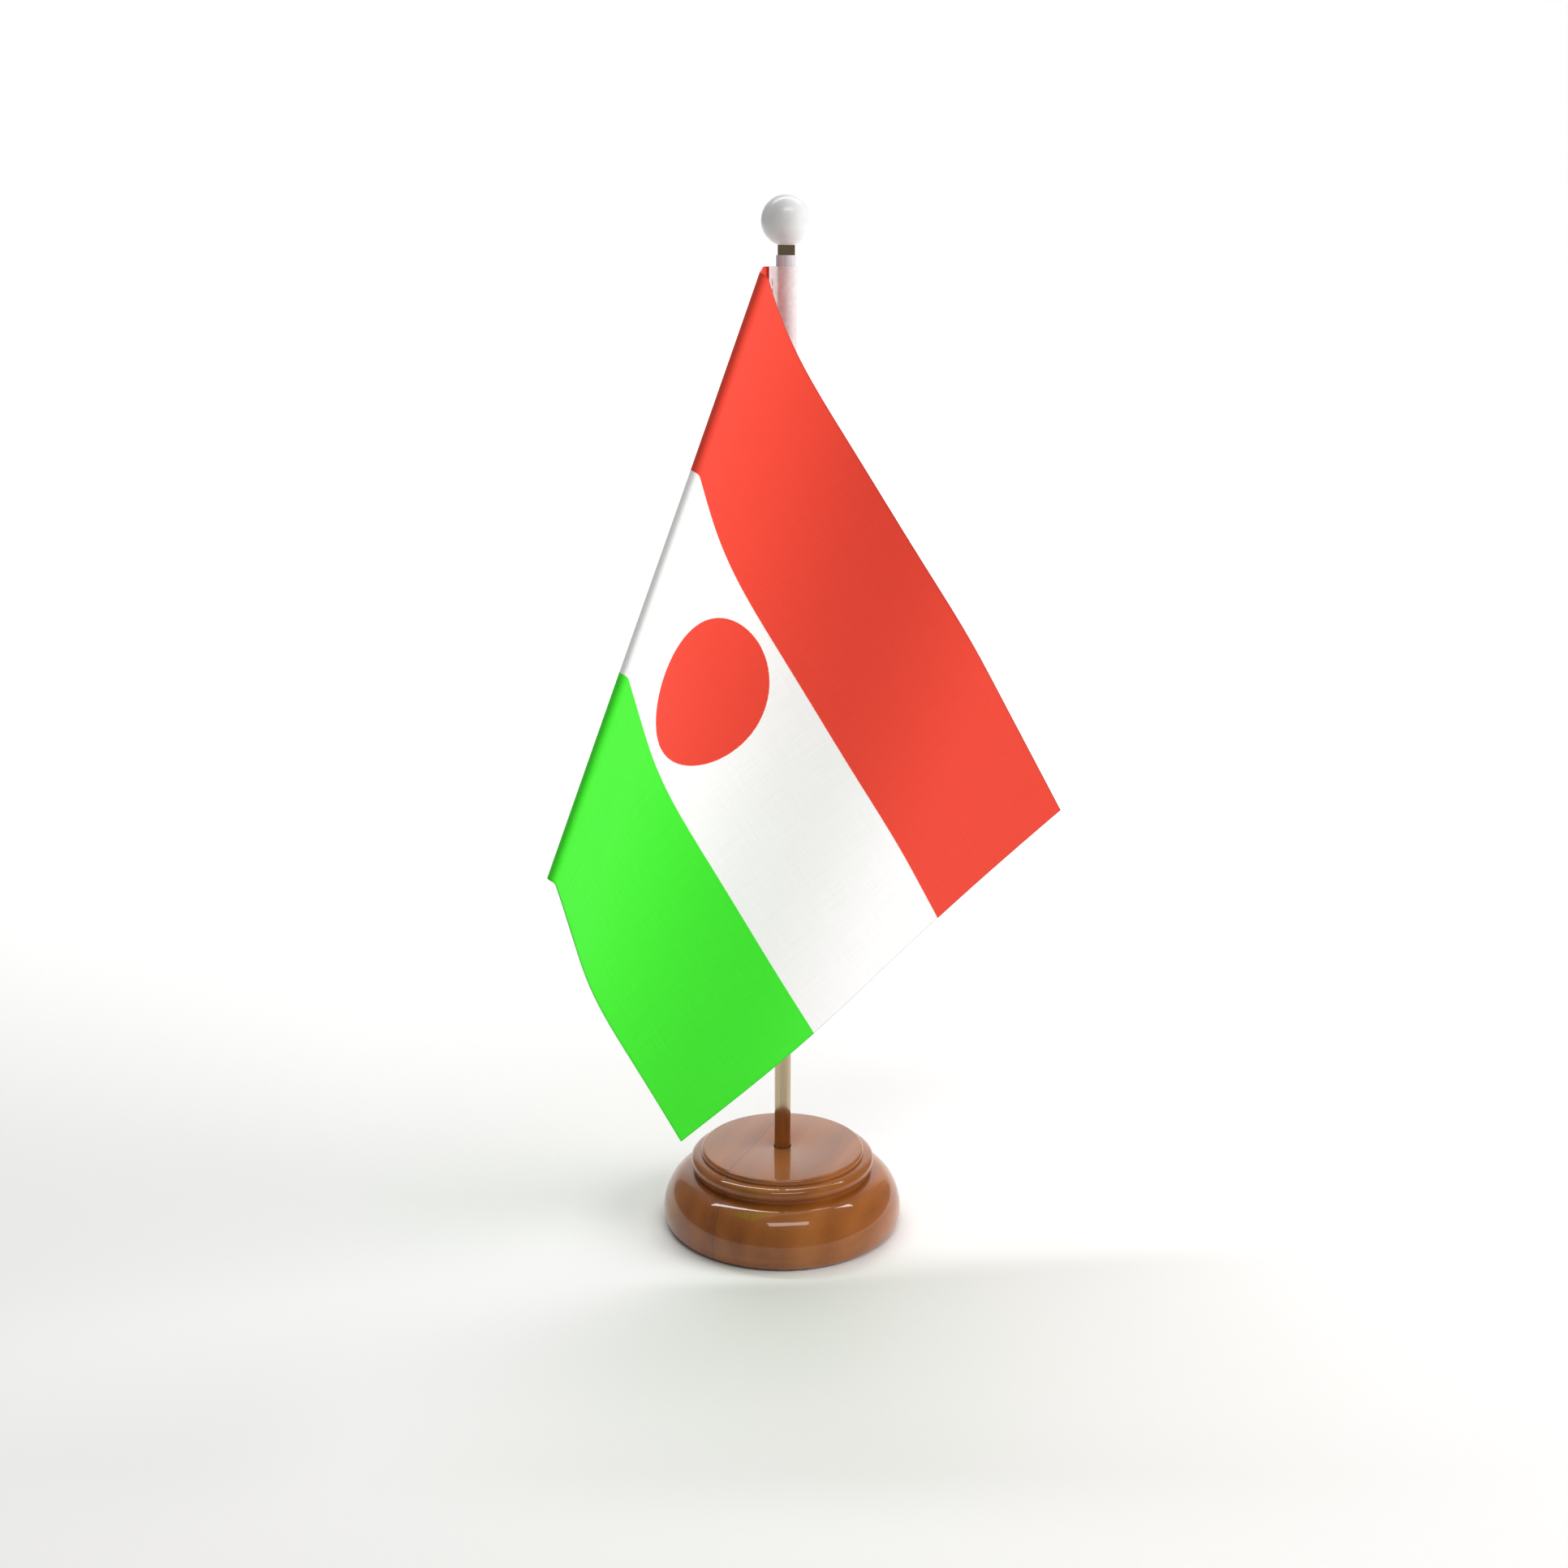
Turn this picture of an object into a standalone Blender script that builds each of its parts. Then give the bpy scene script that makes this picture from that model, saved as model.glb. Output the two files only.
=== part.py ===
"""Desk flag stand: a turned wooden base, a chromed pole with a ball finial, and a flag on a sleeve."""
from math import cos, pi, radians, sin

import bmesh
import bpy
import numpy as np
from mathutils import Matrix

# Driving dimensions, in metres and degrees. Z = 0 is the surface the stand rests on, -Y is its front.
FACETS = 40
CLEARANCE = 0.0003
RUNNING_FIT = 0.0001

# Base, turned on a lathe
BASE_HEIGHT = 0.0245
BASE_RADIUS = 0.037
FOOT_RADIUS = 0.035
FOOT_RISE = 0.0045
SWELL_HEIGHT = 0.0172
GROOVE_RADIUS = 0.0272
GROOVE_HEIGHT = 0.0184
BEAD_RADIUS = 0.0284
BEAD_HEIGHT = 0.0207
STEP_HEIGHT = 0.0227
TOP_RADIUS = 0.0253
LIP_RADIUS = 0.0011

# Felt pad, let into the underside
PAD_RADIUS = 0.031
PAD_THICKNESS = 0.0012
PAD_STANDS_OUT = 0.0004

# Brass socket in the base, open at the top
SOCKET_WALL = 0.0007
SOCKET_FLOOR = 0.0010
SOCKET_BELOW_TOP = 0.0020

# Pole, a chromed tube
POLE_RADIUS = 0.0025
POLE_WALL = 0.0005
POLE_TOP = 0.3015

# Ball finial, pushed over the pole's end
BALL_RADIUS = 0.00715
BALL_BORE_PAST_CENTRE = -0.0011

# Sleeve: a plastic liner on the pole, and the flag's white header sewn round it
LINER_WALL = 0.0003
BARE_NECK = 0.0022
LINER_TAIL = 0.0012
HEADER_WALL = 0.00025
HEADER_BELOW_LINER = 0.0030
TAB_LENGTH = 0.0030
TAB_GAP = 0.0002

# Flag cloth, as cut, and how it falls. A pair holds the value at the top edge and at the bottom edge.
FLAG_FLY = 0.225
FLAG_HOIST = 0.150
CLOTH_THICKNESS = 0.0006
CELLS_BEHIND = 16
CELLS_IN_FOLD = 5
CELLS_IN_FRONT = 32
CELLS_HOIST = 20
CLOTH_STRIDE = 0.0005
LEAVES_POLE_AT = 145.2
CURL_AT_TOP = 0.0015
DROOP_BEHIND = 3.6
FOLD_SLANT = 38.3
FOLD_START = (0.0148, -0.0150)
FOLD_SPAN = 0.004
FOLD_FROM = (92.3, 95.6)
FOLD_TO = (-68.6, -81.2)
FALL_AFTER_FOLD = (53.2, 52.0)
EASE_START = 0.0123
EASE_SPAN = 0.0635
EASE_TO = (-1.8, -28.0)
FALL_EASED = (57.7, 61.8)
TURN_START = 0.0800
TURN_SPAN = 0.0501
TURN_TO = (-42.0, -62.0)
FALL_AT_FLY = 54.1

# The lockstitch row that closes the header on the cloth
THREAD_THICKNESS = 0.00025
THREAD_GAP = 0.00005
THREAD_ALONG_TAB = 0.6
THREAD_END_MARGIN = 0.002

# Heights and radii that follow from the values above
RECESS_HEIGHT = PAD_THICKNESS + CLEARANCE
SOCKET_BORE = POLE_RADIUS + RUNNING_FIT
SOCKET_RADIUS = SOCKET_BORE + SOCKET_WALL
SOCKET_TOP = BASE_HEIGHT - SOCKET_BELOW_TOP
SOCKET_BOTTOM = RECESS_HEIGHT + CLEARANCE
POLE_BOTTOM = SOCKET_BOTTOM + SOCKET_FLOOR + CLEARANCE
BALL_CENTRE = POLE_TOP + CLEARANCE - BALL_BORE_PAST_CENTRE
LINER_BORE = POLE_RADIUS + RUNNING_FIT
LINER_RADIUS = LINER_BORE + LINER_WALL
LINER_TOP = BALL_CENTRE - BALL_RADIUS - BARE_NECK
HEADER_BORE = LINER_RADIUS + RUNNING_FIT
HEADER_RADIUS = HEADER_BORE + HEADER_WALL
HEADER_TOP = LINER_TOP - HEADER_BELOW_LINER
HEADER_BOTTOM = HEADER_TOP - FLAG_HOIST
LINER_BOTTOM = HEADER_BOTTOM - LINER_TAIL
SLIT_HALF = CLOTH_THICKNESS / 2 + TAB_GAP


def clear_scene():
    for obj in list(bpy.data.objects):
        bpy.data.objects.remove(obj, do_unlink=True)


def surface_material(name, color, roughness, metallic=0.0):
    material = bpy.data.materials.new(name)
    material.use_nodes = True
    shader = material.node_tree.nodes["Principled BSDF"]
    shader.inputs["Base Color"].default_value = (*color, 1)
    shader.inputs["Roughness"].default_value = roughness
    shader.inputs["Metallic"].default_value = metallic
    return material


def add_object(name, bm, material, smooth_under=radians(35)):
    bmesh.ops.recalc_face_normals(bm, faces=bm.faces)
    mesh = bpy.data.meshes.new(name)
    bm.to_mesh(mesh)
    bm.free()
    mesh.materials.append(material)
    mesh.shade_smooth()
    mesh.set_sharp_from_angle(angle=smooth_under)
    obj = bpy.data.objects.new(name, mesh)
    bpy.context.collection.objects.link(obj)
    return obj


def turned(name, outline, material, facets=FACETS):
    """A body turned about Z from a closed outline of (radius, height) points."""
    bm = bmesh.new()
    verts = [bm.verts.new((radius, 0, height)) for radius, height in outline]
    edges = [bm.edges.new((a, b)) for a, b in zip(verts, verts[1:] + verts[:1])]
    bmesh.ops.spin(
        bm,
        geom=verts + edges,
        cent=(0, 0, 0),
        axis=(0, 0, 1),
        angle=2 * pi,
        steps=facets,
        use_merge=True,
    )
    bmesh.ops.remove_doubles(bm, verts=bm.verts, dist=1e-6)
    bmesh.ops.dissolve_degenerate(bm, edges=bm.edges, dist=1e-6)
    return add_object(name, bm, material)


def arc(centre, reach, start, end, steps):
    """Points on an ellipse of the given reach (radial, vertical), from one angle to another."""
    angles = [radians(start + (end - start) * i / steps) for i in range(steps + 1)]
    return [(centre[0] + reach[0] * cos(a), centre[1] + reach[1] * sin(a)) for a in angles]


def make_base():
    foot = PAD_STANDS_OUT
    hole = SOCKET_BORE
    lip = arc((TOP_RADIUS - LIP_RADIUS, BASE_HEIGHT - LIP_RADIUS), (LIP_RADIUS, LIP_RADIUS), 90, 0, 3)
    bead_top = arc(
        (TOP_RADIUS, BEAD_HEIGHT), (BEAD_RADIUS - TOP_RADIUS, STEP_HEIGHT - BEAD_HEIGHT), 90, 0, 4
    )
    bead_under = arc(
        (GROOVE_RADIUS, BEAD_HEIGHT), (BEAD_RADIUS - GROOVE_RADIUS, BEAD_HEIGHT - GROOVE_HEIGHT), 0, -90, 3
    )
    swell = arc(
        (GROOVE_RADIUS, FOOT_RISE), (BASE_RADIUS - GROOVE_RADIUS, SWELL_HEIGHT - FOOT_RISE), 90, 0, 8
    )
    heel = arc((FOOT_RADIUS, FOOT_RISE), (BASE_RADIUS - FOOT_RADIUS, FOOT_RISE - foot), 0, -90, 3)
    outline = [(hole, BASE_HEIGHT)] + lip + bead_top + bead_under[1:] + swell + heel[1:]
    outline += [
        (PAD_RADIUS + CLEARANCE, foot),
        (PAD_RADIUS + CLEARANCE, RECESS_HEIGHT),
        (SOCKET_RADIUS + RUNNING_FIT, RECESS_HEIGHT),
        (SOCKET_RADIUS + RUNNING_FIT, SOCKET_TOP + CLEARANCE),
        (hole, SOCKET_TOP + CLEARANCE),
    ]
    wood = surface_material("lacquered_wood", (0.30, 0.14, 0.06), 0.2)
    return turned("wooden_base", outline, wood)


def make_pad():
    outline = [(0, PAD_THICKNESS), (PAD_RADIUS, PAD_THICKNESS), (PAD_RADIUS, 0), (0, 0)]
    return turned("base_pad", outline, surface_material("green_felt", (0.02, 0.05, 0.03), 0.95))


def make_socket():
    floor = SOCKET_BOTTOM + SOCKET_FLOOR
    outline = [
        (0, floor),
        (SOCKET_BORE, floor),
        (SOCKET_BORE, SOCKET_TOP),
        (SOCKET_RADIUS, SOCKET_TOP),
        (SOCKET_RADIUS, SOCKET_BOTTOM),
        (0, SOCKET_BOTTOM),
    ]
    return turned("pole_socket", outline, surface_material("brass", (0.72, 0.52, 0.20), 0.3, 1.0))


def tube(name, bore, radius, bottom, top, material):
    outline = [(bore, top), (radius, top), (radius, bottom), (bore, bottom)]
    return turned(name, outline, material)


def make_pole():
    chrome = surface_material("chrome", (0.72, 0.68, 0.62), 0.08, 1.0)
    return tube("pole", POLE_RADIUS - POLE_WALL, POLE_RADIUS, POLE_BOTTOM, POLE_TOP, chrome)


def make_finial():
    bore = POLE_RADIUS + RUNNING_FIT
    mouth = np.degrees(np.arccos(bore / BALL_RADIUS))
    ball = arc((0, BALL_CENTRE), (BALL_RADIUS, BALL_RADIUS), 90, -mouth, 14)
    bore_top = POLE_TOP + CLEARANCE
    outline = [(0, ball[0][1])] + ball[1:] + [(bore, bore_top), (0, bore_top)]
    return turned("finial_ball", outline, surface_material("white_plastic", (0.75, 0.74, 0.73), 0.12))


def make_liner():
    plastic = surface_material("liner_plastic", (0.55, 0.53, 0.55), 0.45)
    return tube("sleeve_liner", LINER_BORE, LINER_RADIUS, LINER_BOTTOM, LINER_TOP, plastic)


def tab_direction():
    """The level direction in which the header's tabs and the cloth leave the pole."""
    return cos(radians(LEAVES_POLE_AT)), -sin(radians(LEAVES_POLE_AT))


def make_header():
    """White tape: a ring round the liner, whose two ends run out as tabs on both faces of the cloth."""
    reach = HEADER_RADIUS + TAB_LENGTH
    outer_slit = -90 + np.degrees(np.arcsin((SLIT_HALF + HEADER_WALL) / HEADER_RADIUS))
    inner_slit = -90 + np.degrees(np.arcsin(SLIT_HALF / HEADER_BORE))
    outer = arc((0, 0), (HEADER_RADIUS, HEADER_RADIUS), outer_slit, 180 - outer_slit, FACETS)
    inner = arc((0, 0), (HEADER_BORE, HEADER_BORE), 180 - inner_slit, inner_slit, FACETS)
    left_tab = [(-SLIT_HALF - HEADER_WALL, -reach), (-SLIT_HALF, -reach)]
    right_tab = [(SLIT_HALF, -reach), (SLIT_HALF + HEADER_WALL, -reach)]
    x, y = tab_direction()
    section = [(-a * y - b * x, a * x - b * y) for a, b in outer + left_tab + inner + right_tab]
    bm = bmesh.new()
    low = [bm.verts.new((x, y, HEADER_BOTTOM)) for x, y in section]
    high = [bm.verts.new((x, y, HEADER_TOP)) for x, y in section]
    count = len(section)
    for i in range(count):
        j = (i + 1) % count
        bm.faces.new((low[i], low[j], high[j], high[i]))
    # The ends are strips between the outer and inner walls, which run the same way round.
    outer_run = [count - 1] + list(range(FACETS + 2))
    inner_run = [count - 2] + list(range(2 * FACETS + 3, FACETS + 1, -1))
    for ring in (low, high):
        for a, b, c, d in zip(outer_run, outer_run[1:], inner_run[1:], inner_run):
            bm.faces.new((ring[a], ring[b], ring[c], ring[d]))
    tape = surface_material("white_tape", (0.72, 0.68, 0.69), 0.8)
    return add_object("header_sleeve", bm, tape)


def ease(x):
    """0 before 0, 1 after 1, and a smooth step between."""
    x = np.clip(x, 0, 1)
    return x * x * (3 - 2 * x)


def at_height(pair, share):
    """A value that changes evenly from the top edge to the bottom edge."""
    return pair[0] + (pair[1] - pair[0]) * share


def cloth_surface():
    """Mid-surface points, row by row from the hoist to the fly, each row from top to bottom.

    Each thread that runs fly-wise keeps its cut length. It leaves the header straight, curls towards the
    front, turns sharply round a slanting fold, opens to the right, and turns away a little near the fly.
    An azimuth is measured from +X towards the front, and the distance past a slanting line from the top of
    the hoist sets where a thread turns.
    """
    stride = CLOTH_STRIDE
    along = np.arange(0, FLAG_FLY + stride, stride)[:, None]
    down = np.linspace(0, FLAG_HOIST, CELLS_HOIST + 1)[None, :]
    share = down / FLAG_HOIST
    slant = radians(FOLD_SLANT)
    straight = TAB_LENGTH + CLEARANCE
    free = np.clip(along - straight, 0, None)
    past = free * cos(slant) - down * sin(slant)
    fold_start = at_height(FOLD_START, share)
    curled = ease(free / (CURL_AT_TOP + down * np.tan(slant)))
    folded = ease((past - fold_start) / FOLD_SPAN)
    eased = ease((past - EASE_START) / EASE_SPAN)
    turned_away = ease((past - TURN_START) / TURN_SPAN)
    fold_from, fold_to = at_height(FOLD_FROM, share), at_height(FOLD_TO, share)
    ease_to, turn_to = at_height(EASE_TO, share), at_height(TURN_TO, share)
    azimuth = np.radians(
        LEAVES_POLE_AT
        + (fold_from - LEAVES_POLE_AT) * curled
        + (fold_to - fold_from) * folded
        + (ease_to - fold_to) * eased
        + (turn_to - ease_to) * turned_away
    )
    fall_after, fall_eased = at_height(FALL_AFTER_FOLD, share), at_height(FALL_EASED, share)
    fall = np.radians(
        DROOP_BEHIND * curled * (1 - folded)
        + fall_after * folded
        + (fall_eased - fall_after) * eased
        + (FALL_AT_FLY - fall_eased) * turned_away
    )
    heading = np.stack(
        [np.cos(fall) * np.cos(azimuth), -np.cos(fall) * np.sin(azimuth), -np.sin(fall)], axis=-1
    )
    run = np.cumsum((heading[1:] + heading[:-1]) / 2 * stride, axis=0)
    run = np.concatenate([np.zeros_like(run[:1]), run])
    x, y = tab_direction()
    reach = HEADER_RADIUS + CLEARANCE
    hoist = np.stack([0 * down[0] + x * reach, 0 * down[0] + y * reach, HEADER_TOP - down[0]], axis=-1)
    # The columns follow the fold, so that each row has the same share of its cells in the turn.
    fold_at = straight + (fold_start + down * sin(slant)) / cos(slant)
    fold_end = fold_at + FOLD_SPAN / cos(slant)
    behind = straight + (fold_at - straight) * np.linspace(0, 1, CELLS_BEHIND + 1)[:, None]
    turn = fold_at + (fold_end - fold_at) * np.linspace(0, 1, CELLS_IN_FOLD + 1)[1:, None]
    front = fold_end + (FLAG_FLY - fold_end) * np.linspace(0, 1, CELLS_IN_FRONT + 1)[1:, None]
    stations = np.concatenate([0 * down, behind, turn, front])
    low = np.minimum((stations / stride).astype(int), len(run) - 2)
    part_way = (stations / stride - low)[..., None]
    rows = np.arange(CELLS_HOIST + 1)[None, :]
    return run[low, rows] * (1 - part_way) + run[low + 1, rows] * part_way + hoist[None]


def make_flag():
    points = cloth_surface()
    bm = bmesh.new()
    grid = [[bm.verts.new(p) for p in row] for row in points]
    for row, beyond in zip(grid, grid[1:]):
        for i in range(CELLS_HOIST):
            bm.faces.new((row[i], beyond[i], beyond[i + 1], row[i + 1]))
    flag = add_object("flag_cloth", bm, surface_material("printed_cloth", (0.75, 0.08, 0.05), 0.8))
    thickness = flag.modifiers.new("thickness", "SOLIDIFY")
    thickness.thickness = CLOTH_THICKNESS
    thickness.offset = 0
    return flag


def make_seam_threads():
    """The lockstitch that closes the header: needle thread on one tab, bobbin thread on the other."""
    out = HEADER_RADIUS + TAB_LENGTH * THREAD_ALONG_TAB
    aside = SLIT_HALF + HEADER_WALL + THREAD_GAP + THREAD_THICKNESS / 2
    x, y = tab_direction()
    middle = (HEADER_TOP + HEADER_BOTTOM) / 2
    length = HEADER_TOP - HEADER_BOTTOM - 2 * THREAD_END_MARGIN
    thread = surface_material("thread", (0.8, 0.8, 0.8), 0.7)
    for name, side in (("needle_thread", 1), ("bobbin_thread", -1)):
        bm = bmesh.new()
        bmesh.ops.create_cube(bm, size=1)
        bmesh.ops.scale(bm, verts=bm.verts, vec=(THREAD_THICKNESS, THREAD_THICKNESS, length))
        bmesh.ops.rotate(bm, verts=bm.verts, matrix=Matrix.Rotation(-radians(LEAVES_POLE_AT), 3, "Z"))
        place = (x * out - side * y * aside, y * out + side * x * aside, middle)
        bmesh.ops.translate(bm, verts=bm.verts, vec=place)
        add_object(name, bm, thread)


def main():
    clear_scene()
    make_base()
    make_pad()
    make_socket()
    make_pole()
    make_finial()
    make_liner()
    make_header()
    make_flag()
    make_seam_threads()


main()
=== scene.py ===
"""Desk flag stand: a flag sewn to a sleeve, on a chromed pole with a ball, in a turned wooden base."""
from math import cos, pi, radians, sin

import bpy
import numpy as np
from mathutils import Matrix, Vector


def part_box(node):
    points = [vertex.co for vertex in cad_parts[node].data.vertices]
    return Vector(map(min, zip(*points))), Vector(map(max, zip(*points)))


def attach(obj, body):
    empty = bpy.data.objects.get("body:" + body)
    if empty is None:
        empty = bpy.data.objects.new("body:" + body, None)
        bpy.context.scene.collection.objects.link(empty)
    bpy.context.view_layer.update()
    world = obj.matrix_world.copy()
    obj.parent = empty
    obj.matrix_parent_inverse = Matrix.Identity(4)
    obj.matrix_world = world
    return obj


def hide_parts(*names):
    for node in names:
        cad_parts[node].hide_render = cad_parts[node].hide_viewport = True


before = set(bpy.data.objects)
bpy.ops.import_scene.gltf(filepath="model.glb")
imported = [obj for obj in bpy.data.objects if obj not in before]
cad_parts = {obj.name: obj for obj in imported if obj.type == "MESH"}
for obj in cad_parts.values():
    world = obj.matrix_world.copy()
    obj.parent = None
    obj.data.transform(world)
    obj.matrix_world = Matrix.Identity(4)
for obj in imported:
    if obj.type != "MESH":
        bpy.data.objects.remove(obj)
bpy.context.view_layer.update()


# The room: a pale table top that curves up behind. A soft box hangs in front, a large panel on the right
# shades the cloth from that side, and a long panel brightens the wall. The camera looks slightly down.
CAMERA_PLACE = (0, -0.6, 0.303)
LOOKS_DOWN = 15.1
CAMERA_ROLL = 0.25
FLOOR_SIZE = 5
CURVE_STEPS = 9
CURVE_STRIDE = 0.2
WALL_HEIGHT = 3
bpy.context.scene.view_settings.view_transform = "Standard"

camera = bpy.data.objects.new("camera", bpy.data.cameras.new("camera"))
bpy.context.collection.objects.link(camera)
camera.matrix_world = (
    Matrix.Translation(CAMERA_PLACE)
    @ Matrix.Rotation(radians(90 - LOOKS_DOWN), 4, "X")
    @ Matrix.Rotation(radians(CAMERA_ROLL), 4, "Z")
)
camera.data.lens = 48.0
camera.data.sensor_width = 36
camera.data.clip_start = 0.01
bpy.context.scene.camera = camera


def deselect_all():
    """Nothing selected and nothing active, so that the next operator acts on the new piece alone."""
    if bpy.context.object and bpy.context.object.mode != "OBJECT":
        bpy.ops.object.mode_set(mode="OBJECT")
    bpy.ops.object.select_all(action="DESELECT")


def node_maker(material):
    """Makes shader nodes in a material: returns one call that adds a node and one that joins two sockets."""
    tree = material.node_tree

    def add(kind, **settings):
        node = tree.nodes.new(kind)
        for name, value in settings.items():
            if name.startswith("in_"):
                key = name[3:]
                node.inputs[int(key) if key.isdigit() else key.replace("_", " ")].default_value = value
            else:
                setattr(node, name, value)
        return node

    return add, tree.links.new


def new_material(name, **sockets):
    """A Principled material with its constant values set straight on the shader."""
    material = bpy.data.materials.new(name)
    material.use_nodes = True
    shader = material.node_tree.nodes["Principled BSDF"]
    for key, value in sockets.items():
        shader.inputs[key.replace("_", " ")].default_value = value
    return material, shader


deselect_all()
bpy.ops.mesh.primitive_plane_add(size=FLOOR_SIZE, location=(0, 0, 0))
floor = bpy.context.object
floor.name = "table_top"
bpy.ops.object.mode_set(mode="EDIT")
bpy.ops.mesh.select_all(action="DESELECT")
bpy.ops.object.mode_set(mode="OBJECT")
for edge in floor.data.edges:
    edge.select = all(floor.data.vertices[i].co.y > FLOOR_SIZE * 0.48 for i in edge.vertices)
bpy.ops.object.mode_set(mode="EDIT")
bpy.ops.mesh.select_mode(type="EDGE")
# The far edge is drawn on through a quarter turn, and then straight up as a wall
for step in range(CURVE_STEPS):
    turn = radians(90 / CURVE_STEPS * (step + 0.5))
    onward = (0, CURVE_STRIDE * cos(turn), CURVE_STRIDE * sin(turn))
    bpy.ops.mesh.extrude_region_move(TRANSFORM_OT_translate={"value": onward})
bpy.ops.mesh.extrude_region_move(TRANSFORM_OT_translate={"value": (0, 0, WALL_HEIGHT)})
bpy.ops.mesh.select_mode(type="VERT")
bpy.ops.object.mode_set(mode="OBJECT")
bpy.ops.object.shade_smooth()
paper, paper_shader = new_material("white_paper", Roughness=0.75)
paper_shader.inputs["Base Color"].default_value = (0.90, 0.90, 0.90, 1)
paper_shader.inputs["Specular IOR Level"].default_value = 0.2
add, join = node_maker(paper)
grain = add("ShaderNodeTexNoise", in_Scale=900.0, in_Detail=3.0)
where = add("ShaderNodeTexCoord")
relief = add("ShaderNodeBump", in_Strength=0.05, in_Distance=0.0002)
join(where.outputs["Object"], grain.inputs["Vector"])
join(grain.outputs["Fac"], relief.inputs["Height"])
join(relief.outputs["Normal"], paper_shader.inputs["Normal"])
floor.data.materials.append(paper)

world = bpy.context.scene.world or bpy.data.worlds.new("room")
bpy.context.scene.world = world
world.use_nodes = True
sky = world.node_tree.nodes["Background"]
sky.inputs["Color"].default_value = (1.0, 0.985, 0.97, 1)
sky.inputs["Strength"].default_value = 0.19


def soft_box(name, place, aim, size, power, tint=(1, 1, 1)):
    """A rectangular light panel that faces the point it is aimed at."""
    light = bpy.data.objects.new(name, bpy.data.lights.new(name, "AREA"))
    bpy.context.collection.objects.link(light)
    light.data.shape = "RECTANGLE"
    light.data.size, light.data.size_y = size
    light.data.energy = power
    light.data.color = tint
    light.location = place
    light.rotation_euler = (Vector(aim) - Vector(place)).to_track_quat("-Z", "Y").to_euler()
    return light


soft_box("main_light", (0.10, -0.62, 1.05), (0, 0, 0.12), (0.66, 0.22), 2.6, (1.0, 0.985, 0.965))
right_light = soft_box("right_light", (1.30, -0.25, 0.60), (0, 0, 0.17), (1.0, 1.0), 16.0, (1.0, 0.99, 0.98))
# It shades the cloth only, and isn't mirrored in the lacquer or the chrome
right_light.visible_glossy = False
soft_box("wall_light", (0, 0.9, 2.2), (0, 2.6, 0.8), (3.0, 1.0), 104.0)


# Base: one piece of hardwood glued up from boards, turned on a lathe to a bun with a bead and a sunk
# groove under a flat top, sanded, stained brown and sprayed with several coats of clear gloss lacquer.
BASE_HEIGHT = 0.0245
PAD_RADIUS = 0.031
PAD_THICKNESS = 0.0012
SOCKET_RADIUS = 0.0033
SOCKET_TOP = 0.0225
POLE_HOLE = 0.0026
LATHE_STEPS = 160
# How far off the axis the painted reflection of the flag's lower edge crosses the top
REFLECTED_EDGE_OFF_AXIS = 0.0085


def arc(centre, reach, start, end, steps):
    """Points on an ellipse of the given reach (radial, vertical), from one angle to another."""
    angles = [radians(start + (end - start) * i / steps) for i in range(steps + 1)]
    return [(centre[0] + reach[0] * cos(a), centre[1] + reach[1] * sin(a)) for a in angles]


def turned_piece(name, outline, steps=LATHE_STEPS, crease=30):
    """A solid turned about the pole's axis from a closed outline of (radius, height) points."""
    deselect_all()
    bpy.ops.mesh.primitive_plane_add(size=0.001, location=(0, 0, 0))
    piece = bpy.context.object
    piece.name = name
    bpy.ops.object.mode_set(mode="EDIT")
    bpy.ops.mesh.merge(type="CENTER")
    bpy.ops.transform.translate(value=(outline[0][0], 0, outline[0][1]))
    for (r0, z0), (r1, z1) in zip(outline, outline[1:] + outline[:1]):
        bpy.ops.mesh.extrude_region_move(TRANSFORM_OT_translate={"value": (r1 - r0, 0, z1 - z0)})
    bpy.ops.mesh.select_all(action="SELECT")
    bpy.ops.mesh.remove_doubles(threshold=1e-6)
    bpy.ops.mesh.spin(steps=steps, angle=2 * pi, center=(0, 0, 0), axis=(0, 0, 1))
    bpy.ops.mesh.select_all(action="SELECT")
    bpy.ops.mesh.remove_doubles(threshold=2e-6)
    bpy.ops.mesh.dissolve_degenerate(threshold=1e-7)
    bpy.ops.mesh.select_all(action="SELECT")
    bpy.ops.mesh.normals_make_consistent(inside=False)
    bpy.ops.object.mode_set(mode="OBJECT")
    bpy.ops.object.shade_smooth_by_angle(angle=radians(crease))
    return piece


base_outline = arc((0.0242, 0.0234), (0.0011, 0.0011), 90, 0, 8)
base_outline += arc((0.0253, 0.0207), (0.0031, 0.0020), 90, 0, 12)
base_outline += arc((0.0272, 0.0207), (0.0012, 0.0023), 0, -90, 10)[1:]
base_outline += arc((0.0272, 0.0045), (0.0098, 0.0127), 90, 0, 30)
base_outline += arc((0.0350, 0.0045), (0.0020, 0.0041), 0, -90, 10)[1:]
base_outline += [
    (PAD_RADIUS + 0.0003, 0.0004),
    (PAD_RADIUS + 0.0003, PAD_THICKNESS + 0.0003),
    (SOCKET_RADIUS + 0.0001, PAD_THICKNESS + 0.0003),
    (SOCKET_RADIUS + 0.0001, SOCKET_TOP + 0.0003),
    (POLE_HOLE, SOCKET_TOP + 0.0003),
]
base_outline += arc((POLE_HOLE + 0.0003, BASE_HEIGHT - 0.0003), (0.0003, 0.0003), 180, 90, 4)
base = turned_piece("lacquered_base", base_outline, crease=40)

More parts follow.
